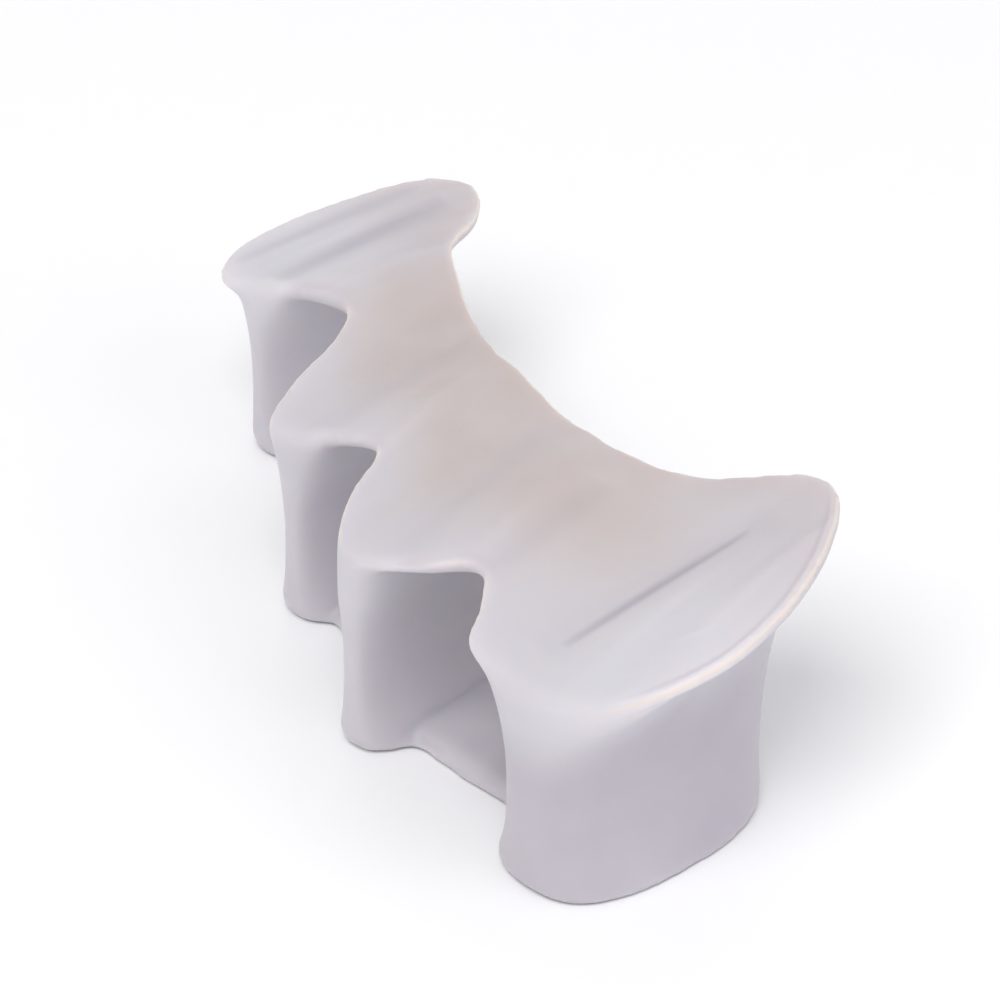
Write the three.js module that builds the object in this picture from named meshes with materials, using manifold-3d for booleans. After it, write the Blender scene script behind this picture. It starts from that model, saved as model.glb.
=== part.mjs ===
// Silicone toe separator: one moulded piece with a web over the toes, a wing at each end,
// four waisted spacers that stand between the toes and a flat sole band that closes the three
// middle loops. Millimetres. +X runs towards the big-toe side, -Y towards the toe tips, +Z up.
import * as THREE from "three";
import { mergeVertices } from "three/addons/utils/BufferGeometryUtils.js";
import Module from "manifold-3d";

// Driving dimensions
const SPAN = 72.2;                // overall width across the five toes
const DEPTH = 47.4;               // from the big spacer's nose to the small wing's tip
const HEIGHT = 25.9;              // from the floor to the top of the big wing's tip
const WEB_THICKNESS = 2.2;        // web over the middle of a toe
const RIM_THICKNESS = 1.0;        // web at its free edges
const SOLE_THICKNESS = 1.8;       // band under the three middle toes
const BIG_WAIST = 9.8;            // thickness of the spacer beside the big toe
const SMALL_WAIST = 4.2;          // thickness of the other three spacers
const BIG_FOOT_FLARE = 2.4;       // how far the big spacer widens on each side at its foot
const SMALL_FOOT_FLARE = 1.8;     // the same for the other three
const END_SETBACK = 0.9;          // how far a spacer's two ends draw in below the web
const TAIL_RAKE = 3.5;            // how much further forward a spacer's tail stands at the floor
const CREASE_WIDTH = 0.8;         // fold line on the big wing
const CREASE_DEPTH = 0.6;

// Proportions
const WAIST_SHARE = 0.4;          // height of the waist in the spacer's height
const FLARE_POWER = 2.3;          // how late the flares start above and below the waist
const SECTION_POWER = 2.6;        // superellipse power of a spacer's plan section
const SOLE_SHARES = [0.24, 0.70]; // stretch of each spacer's length that the sole band meets

// Web outline, one row for each station from the small wing's tip to the big wing's tip.
// front and rear are [x, y] on the two edges, as shares of SPAN and DEPTH from the left front corner.
const OUTLINE = [
  { name: "small_wing_tip", front: [0.148, 0.996], rear: [0.162, 0.996] },
  { name: "small_wing_back", front: [0.108, 0.954], rear: [0.187, 0.975] },
  { name: "small_wing_side", front: [0.053, 0.835], rear: [0.216, 0.916] },
  { name: "small_wing_bulge", front: [0.014, 0.728], rear: [0.227, 0.857] },
  { name: "spacer_4_side", front: [0.000, 0.650], rear: [0.238, 0.821] },
  { name: "spacer_4_nose", front: [0.020, 0.584], rear: [0.252, 0.795] },
  { name: "spacer_4_front", front: [0.075, 0.574], rear: [0.270, 0.772] },
  { name: "toe_4_front", front: [0.151, 0.572], rear: [0.296, 0.741] },
  { name: "notch_3", front: [0.229, 0.565], rear: [0.321, 0.713] },
  { name: "spacer_3_side", front: [0.252, 0.495], rear: [0.352, 0.679] },
  { name: "spacer_3_shoulder", front: [0.266, 0.370], rear: [0.379, 0.654] },
  { name: "spacer_3_nose", front: [0.289, 0.272], rear: [0.409, 0.627] },
  { name: "toe_3_front", front: [0.373, 0.279], rear: [0.440, 0.605] },
  { name: "notch_2", front: [0.440, 0.293], rear: [0.474, 0.589] },
  { name: "spacer_2_side", front: [0.464, 0.190], rear: [0.499, 0.576] },
  { name: "spacer_2_nose", front: [0.510, 0.087], rear: [0.529, 0.561] },
  { name: "spacer_2_front", front: [0.553, 0.072], rear: [0.565, 0.542] },
  { name: "toe_2_front", front: [0.622, 0.097], rear: [0.632, 0.515] },
  { name: "notch_1", front: [0.679, 0.146], rear: [0.687, 0.506] },
  { name: "spacer_1_side", front: [0.712, 0.089], rear: [0.737, 0.515] },
  { name: "spacer_1_corner", front: [0.731, 0.027], rear: [0.773, 0.534] },
  { name: "spacer_1_nose", front: [0.816, 0.000], rear: [0.817, 0.580] },
  { name: "spacer_1_front", front: [0.885, 0.015], rear: [0.845, 0.612] },
  { name: "big_wing_low", front: [0.947, 0.084], rear: [0.861, 0.627] },
  { name: "big_wing_bulge", front: [0.992, 0.200], rear: [0.873, 0.633] },
  { name: "big_wing_side", front: [1.000, 0.325], rear: [0.881, 0.635] },
  { name: "big_wing_high", front: [0.981, 0.451], rear: [0.889, 0.636] },
  { name: "big_wing_back", front: [0.946, 0.557], rear: [0.899, 0.631] },
  { name: "big_wing_tip", front: [0.922, 0.608], rear: [0.911, 0.620] },
];

// Lanes of the web's top surface: crests over the toes and valleys over the spacers, from left to right.
// front and rear are [x, y] in shares as above; heights are shares of HEIGHT at the front, middle and rear.
const LANES = [
  { name: "small_wing_rim", front: [0.000, 0.650], rear: [0.123, 0.980], heights: [0.640, 0.724, 0.783] },
  { name: "spacer_4_valley", front: [0.078, 0.600], rear: [0.177, 0.940], heights: [0.679, 0.740, 0.780] },
  { name: "toe_4_crest", front: [0.179, 0.570], rear: [0.262, 0.812], heights: [0.784, 0.819, 0.827] },
  { name: "spacer_3_valley", front: [0.303, 0.295], rear: [0.345, 0.686], heights: [0.733, 0.799, 0.830] },
  { name: "toe_3_crest", front: [0.416, 0.295], rear: [0.439, 0.608], heights: [0.822, 0.862, 0.872] },
  { name: "spacer_2_valley", front: [0.524, 0.084], rear: [0.535, 0.557], heights: [0.772, 0.847, 0.880] },
  { name: "toe_2_crest", front: [0.648, 0.127], rear: [0.668, 0.506], heights: [0.857, 0.911, 0.923] },
  { name: "spacer_1_valley", front: [0.820, 0.000], rear: [0.878, 0.612], heights: [0.745, 0.894, 0.980] },
  { name: "big_wing_rim", front: [0.940, 0.042], rear: [0.950, 0.591], heights: [0.782, 0.962, 1.000] },
];
const LANE_OVERRUN = 0.3;         // a lane's height goes on past its ends for this share of its length

// Spacers: centreline from nose to tail as [x, y] shares of SPAN and DEPTH, thickness at the waist,
// how far the spacer widens into the web on its left and on its right, and how far on both sides
// at its foot, in millimetres.
const BIG = { waist: BIG_WAIST, foot: BIG_FOOT_FLARE };
const SMALL = { waist: SMALL_WAIST, foot: SMALL_FOOT_FLARE };
const SPACERS = [
  { name: "spacer_1", nose: [0.817, -0.010], tail: [0.861, 0.575], flares: [4.0, 6.0], ...BIG },
  { name: "spacer_2", nose: [0.522, 0.068], tail: [0.539, 0.525], flares: [3.2, 3.6], ...SMALL },
  { name: "spacer_3", nose: [0.312, 0.262], tail: [0.350, 0.650], flares: [2.6, 3.8], ...SMALL },
  { name: "spacer_4", nose: [0.064, 0.570], tail: [0.160, 0.935], flares: [4.4, 3.4], ...SMALL },
];

// Fold line on the big wing, from front to rear, as [x, y] shares
const CREASE = { front: [0.827, 0.118], rear: [0.873, 0.454] };

// Steps of the mesh
const STEPS_PER_ROW = 2;
const STEPS_ACROSS = 8;
const SECTION_SIDES = 28;
const SPACER_LEVELS = 9;
const TOP_RING_SHARES = [0.7, 0.35, 0.02];
const SOLE_STEPS = 18;
const CREASE_STEPS = 10;

const SILICONE = { color: 0xd9d5dc, roughness: 0.42, metalness: 0 };

// Place of a share pair on the plan
function onPlan([x, y]) {
  return new THREE.Vector3(x * SPAN, y * DEPTH, 0);
}

// Smooth curve through plan points
function planCurve(points) {
  return new THREE.CatmullRomCurve3(points, false, "centripetal");
}

// Where a lane stands at depth y: its x, and its height on the parabola through its three heights
function laneAt(lane, y) {
  const front = onPlan(lane.front);
  const rear = onPlan(lane.rear);
  const along = (y - front.y) / (rear.y - front.y);
  const s = THREE.MathUtils.clamp(along, -LANE_OVERRUN, 1 + LANE_OVERRUN);
  const [a, b, c] = lane.heights;
  const share = a * (1 - s) * (1 - 2 * s) + 4 * b * s * (1 - s) + c * s * (2 * s - 1);
  return { x: THREE.MathUtils.lerp(front.x, rear.x, s), z: share * HEIGHT };
}

// Height of the web's top: a cubic from lane to lane, with each lane's slope taken from its neighbours
function topHeight(x, y) {
  const knots = LANES.map((lane) => laneAt(lane, y));
  const last = knots.length - 1;
  const slope = (i) => {
    const before = knots[Math.max(i - 1, 0)];
    const after = knots[Math.min(i + 1, last)];
    return (after.z - before.z) / (after.x - before.x);
  };
  if (x <= knots[0].x) {
    return knots[0].z + slope(0) * (x - knots[0].x);
  }
  if (x >= knots[last].x) {
    return knots[last].z;
  }
  const i = knots.findIndex((knot, k) => k < last && x < knots[k + 1].x);
  const width = knots[i + 1].x - knots[i].x;
  const s = (x - knots[i].x) / width;
  const blend = knots[i].z * (1 + 2 * s) * (1 - s) ** 2 + knots[i + 1].z * s ** 2 * (3 - 2 * s);
  return blend + width * (slope(i) * s * (1 - s) ** 2 - slope(i + 1) * s ** 2 * (1 - s));
}

// Closed surface through rings that all have the same number of points, with flat ends.
// Each ring runs anticlockwise as seen from the last ring.
function closedLoft(rings) {
  const sides = rings[0].length;
  const positions = rings.flat().flatMap((p) => [p.x, p.y, p.z]);
  const index = [];
  for (let r = 0; r < rings.length - 1; r += 1) {
    for (let k = 0; k < sides; k += 1) {
      const a = r * sides + k;
      const b = r * sides + ((k + 1) % sides);
      index.push(a, b, b + sides, a, b + sides, a + sides);
    }
  }
  const end = (rings.length - 1) * sides;
  for (let k = 1; k < sides - 1; k += 1) {
    index.push(0, k + 1, k);
    index.push(end, end + k, end + k + 1);
  }
  const geometry = new THREE.BufferGeometry();
  geometry.setAttribute("position", new THREE.Float32BufferAttribute(positions, 3));
  geometry.setIndex(index);
  return geometry;
}

// Slab between a front and a rear edge curve, with its own top and bottom heights
function edgeSlab({ frontEdge, rearEdge, steps, stepsAcross, top, bottom }) {
  const rings = [];
  for (let i = 0; i <= steps; i += 1) {
    const front = frontEdge.getPoint(i / steps);
    const rear = rearEdge.getPoint(i / steps);
    const lower = [];
    const upper = [];
    for (let j = 0; j <= stepsAcross; j += 1) {
      const t = j / stepsAcross;
      const p = front.clone().lerp(rear, t);
      lower.push(new THREE.Vector3(p.x, p.y, bottom(p, t)));
      upper.unshift(new THREE.Vector3(p.x, p.y, top(p, t)));
    }
    rings.push([...lower, ...upper]);
  }
  return closedLoft(rings);
}

const WEB_PLAN = {
  frontEdge: planCurve(OUTLINE.map((row) => onPlan(row.front))),
  rearEdge: planCurve(OUTLINE.map((row) => onPlan(row.rear))),
  steps: (OUTLINE.length - 1) * STEPS_PER_ROW,
};

// Web: thin at its two free edges, full in the middle
function makeWeb() {
  const thickness = (t) => RIM_THICKNESS + (WEB_THICKNESS - RIM_THICKNESS) * Math.sqrt(4 * t * (1 - t));
  const top = (p) => topHeight(p.x, p.y);
  const bottom = (p, t) => topHeight(p.x, p.y) - thickness(t);
  return edgeSlab({ ...WEB_PLAN, stepsAcross: STEPS_ACROSS, top, bottom });
}

// Upright block on the web's whole plan, which trims the spacers to it
function makeTrimBlock() {
  return edgeSlab({ ...WEB_PLAN, stepsAcross: 1, top: () => 2 * HEIGHT, bottom: () => -HEIGHT });
}

// Sole band: a flat strip from spacer to spacer, from the small-toe side to the big-toe side
function makeSole() {
  const edge = (share) => {
    const points = SPACERS.map(({ nose, tail }) => onPlan(nose).lerp(onPlan(tail), share));
    return planCurve(points.reverse());
  };
  const [frontEdge, rearEdge] = SOLE_SHARES.map(edge);
  const flat = { steps: SOLE_STEPS, stepsAcross: 1, top: () => SOLE_THICKNESS, bottom: () => 0 };
  return edgeSlab({ frontEdge, rearEdge, ...flat });
}

// One plan section of a spacer as [along, across] offsets: a superellipse with its own two half widths
function sectionRing(reach, [left, right]) {
  const ring = [];
  for (let k = 0; k < SECTION_SIDES; k += 1) {
    const angle = (2 * Math.PI * k) / SECTION_SIDES;
    const c = Math.sign(Math.cos(angle)) * Math.abs(Math.cos(angle)) ** (2 / SECTION_POWER);
    const s = Math.sign(Math.sin(angle)) * Math.abs(Math.sin(angle)) ** (2 / SECTION_POWER);
    ring.push([reach * c, s * (s > 0 ? left : right)]);
  }
  return ring;
}

// Spacer: waisted in height, from the floor into the web, its tail raked forward towards the floor
// and its top closed by shrinking rings
function makeSpacer({ nose, tail, waist, flares, foot }) {
  const start = onPlan(nose);
  const finish = onPlan(tail);
  const centre = start.clone().lerp(finish, 0.5);
  const along = finish.clone().sub(start).normalize();
  const across = new THREE.Vector3(-along.y, along.x, 0);
  const halfLength = start.distanceTo(finish) / 2;
  const place = (level, shift) => ([a, b]) => {
    const p = centre.clone().addScaledVector(along, a + shift).addScaledVector(across, b);
    p.z = level * (topHeight(p.x, p.y) - RIM_THICKNESS / 2);
    return p;
  };
  const rings = [];
  for (let i = 0; i <= SPACER_LEVELS; i += 1) {
    const level = (1 - Math.cos((Math.PI * i) / SPACER_LEVELS)) / 2;
    const above = (Math.max(level - WAIST_SHARE, 0) / (1 - WAIST_SHARE)) ** FLARE_POWER;
    const below = (Math.max(WAIST_SHARE - level, 0) / WAIST_SHARE) ** FLARE_POWER;
    const rake = TAIL_RAKE * (1 - level);
    const reach = halfLength - END_SETBACK * (1 - above) - rake / 2;
    const halfWidths = flares.map((flare) => waist / 2 + flare * above + foot * below);
    rings.push(sectionRing(reach, halfWidths).map(place(level, -rake / 2)));
  }
  for (const share of TOP_RING_SHARES) {
    const halfWidths = flares.map((flare) => (waist / 2 + flare) * share);
    rings.push(sectionRing(halfLength * share, halfWidths).map(place(1, 0)));
  }
  return closedLoft(rings);
}

// Crease: a V-shaped sliver along the fold line, deepest in the middle and run out at both ends.
// Its sides go on as far above the surface as they reach below it.
function makeCrease() {
  const start = onPlan(CREASE.front);
  const finish = onPlan(CREASE.rear);
  const along = finish.clone().sub(start).normalize();
  const right = new THREE.Vector3(along.y, -along.x, 0);
  const rings = [];
  for (let i = 1; i < CREASE_STEPS; i += 1) {
    const share = i / CREASE_STEPS;
    const fade = Math.sin(Math.PI * share);
    const p = start.clone().lerp(finish, share);
    const z = topHeight(p.x, p.y);
    const corner = (offset, lift) => p.clone().addScaledVector(right, offset).setZ(z + lift);
    rings.push([
      corner(0, -CREASE_DEPTH * fade),
      corner(-CREASE_WIDTH * fade, CREASE_DEPTH * fade),
      corner(CREASE_WIDTH * fade, CREASE_DEPTH * fade),
    ]);
  }
  return closedLoft(rings);
}

const wasm = await Module();
wasm.setup();

// Solid of a closed geometry, its shared vertices merged
function toSolid(geometry) {
  const merged = mergeVertices(geometry, 1e-4);
  const mesh = new wasm.Mesh({
    numProp: 3,
    vertProperties: new Float32Array(merged.attributes.position.array),
    triVerts: new Uint32Array(merged.index.array),
  });
  return new wasm.Manifold(mesh);
}

function toGeometry(solid) {
  const mesh = solid.getMesh();
  const geometry = new THREE.BufferGeometry();
  geometry.setAttribute("position", new THREE.BufferAttribute(new Float32Array(mesh.vertProperties), 3));
  geometry.setIndex(new THREE.BufferAttribute(new Uint32Array(mesh.triVerts), 1));
  return geometry;
}

// The spacers end at the web's outline, the sole and the web join them below and above,
// and the whole stands with the middle of its plan over the origin
function makeSeparator() {
  const trimBlock = toSolid(makeTrimBlock());
  let solid = toSolid(makeWeb()).add(toSolid(makeSole()));
  for (const spacer of SPACERS) {
    solid = solid.add(toSolid(makeSpacer(spacer)).intersect(trimBlock));
  }
  const geometry = toGeometry(solid.subtract(toSolid(makeCrease())));
  geometry.computeBoundingBox();
  const centre = geometry.boundingBox.getCenter(new THREE.Vector3());
  geometry.translate(-centre.x, -centre.y, 0);
  geometry.computeVertexNormals();
  return new THREE.Mesh(geometry, new THREE.MeshStandardMaterial(SILICONE));
}

const separator = makeSeparator();
separator.name = "toe_separator";

const part = new THREE.Group();
part.add(separator);

export default part;
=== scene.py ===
# Silicone toe separator: one moulded piece on a pale studio floor, in metres, +Z up, +X towards the
# big wing and -Y towards the spacers' noses. The piece stands where the frame's solid stands.
import math

import bmesh
import bpy
import numpy as np
from bpy.props import FloatProperty, FloatVectorProperty, PointerProperty
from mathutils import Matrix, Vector


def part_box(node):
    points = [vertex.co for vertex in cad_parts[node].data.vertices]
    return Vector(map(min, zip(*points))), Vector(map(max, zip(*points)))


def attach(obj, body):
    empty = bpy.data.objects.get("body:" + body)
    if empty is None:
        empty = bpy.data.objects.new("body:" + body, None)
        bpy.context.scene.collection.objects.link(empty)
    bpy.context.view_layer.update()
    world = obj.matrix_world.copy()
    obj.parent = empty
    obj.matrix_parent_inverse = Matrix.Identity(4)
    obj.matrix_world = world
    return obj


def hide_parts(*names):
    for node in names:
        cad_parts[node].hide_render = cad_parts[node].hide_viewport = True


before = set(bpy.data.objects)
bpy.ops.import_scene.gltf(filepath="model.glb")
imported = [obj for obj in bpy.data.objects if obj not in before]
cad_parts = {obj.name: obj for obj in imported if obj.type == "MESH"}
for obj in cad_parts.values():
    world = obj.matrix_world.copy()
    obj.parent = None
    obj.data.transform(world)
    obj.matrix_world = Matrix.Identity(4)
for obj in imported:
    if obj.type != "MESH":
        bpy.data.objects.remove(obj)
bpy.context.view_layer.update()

bl_info = {
    "name": "Silicone Toe Separator",
    "version": (1, 0, 0),
    "blender": (4, 5, 0),
    "location": "3D View > Sidebar > Toe Separator",
    "description": "Moulds a silicone toe separator and sets it on a studio floor",
    "category": "Add Mesh",
}

NODE = "toe_separator"
LOW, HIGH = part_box(NODE)
MM = 0.001

# Web outline, one row for each station from the small wing's tip to the big wing's tip:
# name, front edge x and y, rear edge x and y, as shares of SPAN and DEPTH from the left front corner
OUTLINE = (
    ("small_wing_tip", 0.148, 0.996, 0.162, 0.996),
    ("small_wing_back", 0.108, 0.954, 0.187, 0.975),
    ("small_wing_side", 0.053, 0.835, 0.216, 0.916),
    ("small_wing_bulge", 0.014, 0.728, 0.227, 0.857),
    ("spacer_4_side", 0.000, 0.650, 0.238, 0.821),
    ("spacer_4_nose", 0.020, 0.584, 0.252, 0.795),
    ("spacer_4_front", 0.075, 0.574, 0.270, 0.772),
    ("loop_3_front", 0.151, 0.572, 0.296, 0.741),
    ("notch_3", 0.229, 0.565, 0.321, 0.713),
    ("spacer_3_side", 0.252, 0.495, 0.352, 0.679),
    ("spacer_3_shoulder", 0.266, 0.370, 0.379, 0.654),
    ("spacer_3_nose", 0.289, 0.272, 0.409, 0.627),
    ("loop_2_front", 0.373, 0.279, 0.440, 0.605),
    ("notch_2", 0.440, 0.293, 0.474, 0.589),
    ("spacer_2_side", 0.464, 0.190, 0.499, 0.576),
    ("spacer_2_nose", 0.510, 0.087, 0.529, 0.561),
    ("spacer_2_front", 0.553, 0.072, 0.565, 0.542),
    ("loop_1_front", 0.622, 0.097, 0.632, 0.515),
    ("notch_1", 0.679, 0.146, 0.687, 0.506),
    ("spacer_1_side", 0.712, 0.089, 0.737, 0.515),
    ("spacer_1_corner", 0.731, 0.027, 0.773, 0.534),
    ("spacer_1_nose", 0.816, 0.000, 0.817, 0.580),
    ("spacer_1_front", 0.885, 0.015, 0.845, 0.612),
    ("big_wing_low", 0.947, 0.084, 0.861, 0.627),
    ("big_wing_bulge", 0.992, 0.200, 0.873, 0.633),
    ("big_wing_side", 1.000, 0.325, 0.881, 0.635),
    ("big_wing_high", 0.981, 0.451, 0.889, 0.636),
    ("big_wing_back", 0.946, 0.557, 0.899, 0.631),
    ("big_wing_tip", 0.922, 0.608, 0.911, 0.620),
)

# Lanes of the web's top from left to right, crests over the loops and valleys over the spacers:
# name, front x and y, rear x and y as above, then heights at the front, middle and rear as shares of HEIGHT
LANES = (
    ("small_wing_rim", 0.000, 0.650, 0.123, 0.980, 0.640, 0.724, 0.783),
    ("spacer_4_valley", 0.078, 0.600, 0.177, 0.940, 0.679, 0.740, 0.780),
    ("loop_3_crest", 0.179, 0.570, 0.262, 0.812, 0.784, 0.819, 0.827),
    ("spacer_3_valley", 0.303, 0.295, 0.345, 0.686, 0.733, 0.799, 0.830),
    ("loop_2_crest", 0.416, 0.295, 0.439, 0.608, 0.822, 0.862, 0.872),
    ("spacer_2_valley", 0.524, 0.084, 0.535, 0.557, 0.772, 0.847, 0.880),
    ("loop_1_crest", 0.648, 0.127, 0.668, 0.506, 0.857, 0.911, 0.923),
    ("spacer_1_valley", 0.820, 0.000, 0.878, 0.612, 0.745, 0.894, 0.980),
    ("big_wing_rim", 0.940, 0.042, 0.950, 0.591, 0.782, 0.962, 1.000),
)
LANE_OVERRUN = 0.3  # a lane's height goes on past its ends for this share of its length

# Spacers: name, nose x and y, tail x and y in shares, whether it is the big one,
# and how far it widens into the web on its left and on its right in millimetres
SPACERS = (
    ("spacer_1", 0.817, -0.010, 0.861, 0.575, True, 4.0, 6.0),
    ("spacer_2", 0.522, 0.068, 0.539, 0.525, False, 3.2, 3.6),
    ("spacer_3", 0.312, 0.262, 0.350, 0.650, False, 2.6, 3.8),
    ("spacer_4", 0.064, 0.570, 0.160, 0.935, False, 4.4, 3.4),
)

# Noses whose top rolls over into the front face: name, x and y in shares, radius reached in
# millimetres, and how much of the extra smoothing it takes
SOFT_NOSES = (
    ("spacer_1", 0.850, 0.010, 6.5, 1.0),
    ("spacer_2", 0.530, 0.085, 3.5, 0.5),
    ("spacer_3", 0.320, 0.285, 3.5, 0.5),
    ("spacer_4", 0.080, 0.580, 3.2, 0.6),
    ("spacer_2_shoulder", 0.590, 0.085, 3.0, 0.3),
    ("spacer_3_shoulder", 0.365, 0.280, 3.0, 0.3),
    ("spacer_4_shoulder", 0.140, 0.572, 3.0, 0.3),
)

# Folds in the web's top: name, front x and y, rear x and y in shares, then depth (a ridge's is below
# zero) and half width in millimetres, and how much of the painted shade at the fold's bottom it takes
FOLDS = (
    ("big_wing_crease", 0.817, 0.112, 0.875, 0.468, 0.16, 0.52, 0.65),
    ("big_wing_dip", 0.800, 0.080, 0.885, 0.520, 0.16, 1.80, 0.18),
    ("big_wing_glint", 0.922, 0.196, 0.948, 0.240, -0.06, 0.35, 0.00),
    ("small_wing_valley", 0.100, 0.600, 0.162, 0.930, 0.17, 1.40, 0.50),
    ("small_wing_ridge", 0.070, 0.610, 0.135, 0.950, -0.10, 0.90, 0.00),
    ("small_wing_inner_valley", 0.022, 0.620, 0.115, 0.930, 0.08, 0.80, 0.30),
    ("loop_3_ridge", 0.190, 0.560, 0.240, 0.860, -0.10, 1.10, 0.00),
    ("loop_2_valley", 0.365, 0.300, 0.395, 0.640, 0.12, 1.30, 0.12),
    ("loop_2_ridge", 0.446, 0.300, 0.430, 0.600, -0.15, 1.10, 0.00),
    ("loop_1_valley", 0.590, 0.090, 0.575, 0.520, 0.12, 1.40, 0.12),
    ("loop_1_ridge", 0.672, 0.165, 0.625, 0.520, -0.15, 1.20, 0.00),
    ("notch_1_dip", 0.690, 0.130, 0.700, 0.420, 0.18, 1.60, 0.15),
)

FOLD_FADE = 0.4  # power of the parabola that runs a fold out at both ends

# Stretch lines in the web's top, which run along the lanes: waves to a lane, phase and drift from
# front to rear in turns, and height in millimetres
STRETCH_LINES = (
    (0.83, 0.10, 0.35, 0.045),
    (1.61, 0.55, -0.30, 0.028),
    (2.57, 0.23, 0.50, 0.015),
    (3.91, 0.71, -0.60, 0.008),
)

# Rims of the web: the share of their thickness that lies above their outermost line, how far down the
# painted highlight line of their top edge reaches, and how far from that edge its distance is noted
RIM_LEVEL = 0.35
RIM_TOP = 0.1 * MM
RIM_NOTED = 3 * MM

# Lip of the web's free edges: distance from the edge, height above the top and half width, all in
# millimetres, of the bead and of the shallow groove behind it
LIP = (
    ("bead", 0.35, 0.03, 0.35),
    ("groove", 1.00, -0.05, 0.40),
)

# Proportions of the spacers
WAIST_SHARE = 0.4
FLARE_POWER = 2.3
SECTION_POWER = 2.6
SOLE_SHARES = (0.24, 0.70)

# Steps of the grids
WEB_STATIONS = 337
WEB_SIDES = 96
SPACER_LEVELS = 56
SPACER_SIDES = 120
TOP_RINGS = 12
LAST_TOP_RING = 0.01  # its share of the spacer's section
EDGE_BATCHES = 48     # the web's edge points are searched in this many batches
TOLERANCE = 1e-9      # sines smaller than this count as 0
SOLE_STATIONS = 121
SOLE_SIDES = 64

# Smoothing of the skin: the shares of its shrinking and swelling steps, and its rounds
SHRINK, SWELL = 0.5, 0.52
SKIN_ROUNDS = 30
NOSE_ROUNDS = 70
FOOT_ROUNDS = 45
RIM_ROUNDS = 8

# Reaches over which something on the skin fades: in metres below the web's top, from the web's edge
# or above the floor, then as the upward share of the normal, as the share of the edge's outward normal
# that points forward, and as the weight of the nose smoothing
WEB_DROP = (1.6 * MM, 3.0 * MM)      # from the web into a spacer
SHADE_DROP = (0.8 * MM, 9 * MM)       # from the top down into the painted shade low in the spacers
RIM_AWAY = (0.6 * MM, 1.4 * MM)      # end of the rims' own smoothing
OPENING_AWAY = (0.2 * MM, 2.0 * MM)  # end of the painted shade at the openings' front edges
FOOT_RISE = (0.5 * MM, 2.0 * MM)     # end of the feet's own smoothing
FACES_UP = (0.2, 0.6)                # from the sides to the top
LIP_FORWARD = (0.80, 0.97)           # where edges face the front and lose their lip
HIGHLIGHT_FORWARD = (0.55, 0.97)        # and their painted highlight line
GROOVE_SHADE_FORWARD = (0.45, 0.85)          # and their painted shade line in the lip's groove
OPENING_FORWARD = (0.5, 0.9)         # where edges face the front and take the painted shade
NOSE_LIP = (0.02, 0.30)              # where noses lose their lip

# Reaches of the tints and of the painted shade across the lanes by number and along them by share
THIN_LANES = ((1.3, 2.6), (6.2, 7.6))
THIN_SHARES = (-0.1, 0.6)
REAR_SHARES = (0.25, 1.0)
LOBE_LANES = ((1.8, 2.6), (6.6, 7.6))
LOBE_SHARES = (0, 0.5)
CREST = (0.3, 0.8)
BIG_SPACER_LANES = (5.5, 6.6)
BIG_WING_LANES = (7.2, 7.9)

# Painted lines at the rims, in millimetres from their top edge: the painted highlight line fades from its
# second distance to its first, and the fine painted shade line in the lip's groove lies where its near
# and far sides meet
HIGHLIGHT_LINE = (0.40, 0.15)
GROOVE_SHADE_NEAR = (0.60, 0.90)
GROOVE_SHADE_FAR = (1.25, 0.90)

# How much of its tint or painted shade each of these takes
REAR_THIN = 0.5
REAR_DARKENING = 0.4
LOBE_SHADE = 0.31
OPENING_SHADE = 0.62
SMALL_SPACER_SHADE = 0.56
BIG_SPACER_SHADE = 0.95
GROOVE_SHADE = 0.30

# Finer faces at the crease: half width in millimetres and share of the fold that they cover, how far
# up a face looks there, and into how many pieces its edges are cut
REFINED_HALF_WIDTH = 0.9
REFINED_SHARE = 0.05
REFINED_UPWARD = 0.3
REFINED_PIECES = 3

SPAN = HIGH.x - LOW.x
DEPTH = (HIGH.y - LOW.y) / max(row[2] for row in OUTLINE)
HEIGHT = HIGH.z
CORNER = np.array((LOW.x, LOW.y))
PLAN = np.array((SPAN, DEPTH))


def linear(text):
    """Linear RGB of an sRGB hex colour: c / 12.92 for a channel c up to 0.04045, and above that
    (c + 0.055) / 1.055 to the power 2.4"""
    parts = (int(text[i:i + 2], 16) / 255 for i in (1, 3, 5))
    return tuple(c / 12.92 if c <= 0.04045 else ((c + 0.055) / 1.055) ** 2.4 for c in parts)


def on_plan(shares):
    """Plan points in metres of rows of shares: the left front corner plus share times SPAN or DEPTH"""
    return CORNER + np.asarray(shares) * PLAN


def smooth_step(low, high, value):
    """0 below low, 1 above high, and 3s² − 2s³ between them"""
    s = np.clip((value - low) / (high - low), 0, 1)
    return s * s * (3 - 2 * s)


def edge_curve(points, u):
    """Centripetal Catmull-Rom curve: between two points it is the cubic whose end tangents weigh the
    neighbouring chords by the square roots of their lengths. Each chord takes an equal share of u."""
    chain = np.vstack((2 * points[0] - points[1], points, 2 * points[-1] - points[-2]))
    chords = len(points) - 1
    i = np.minimum((u * chords).astype(int), chords - 1)
    s = (u * chords - i)[:, None]
    p0, p1, p2, p3 = (chain[i + k] for k in range(4))
    root = lambda a, b: np.sqrt(np.linalg.norm(b - a, axis=1))[:, None]
    before, here, after = root(p0, p1), root(p1, p2), root(p2, p3)
    leave = here * ((p1 - p0) / before - (p2 - p0) / (before + here) + (p2 - p1) / here)
    arrive = here * ((p2 - p1) / here - (p3 - p1) / (here + after) + (p3 - p2) / after)
    blend = p1 * (1 + 2 * s) * (1 - s) ** 2 + p2 * s ** 2 * (3 - 2 * s)
    return blend + leave * s * (1 - s) ** 2 - arrive * s ** 2 * (1 - s)


def web_edges(u):
    """Front and rear edge of the web at the parameters u"""
    rows = np.array([row[1:] for row in OUTLINE])
    return edge_curve(on_plan(rows[:, :2]), u), edge_curve(on_plan(rows[:, 2:]), u)


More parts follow.
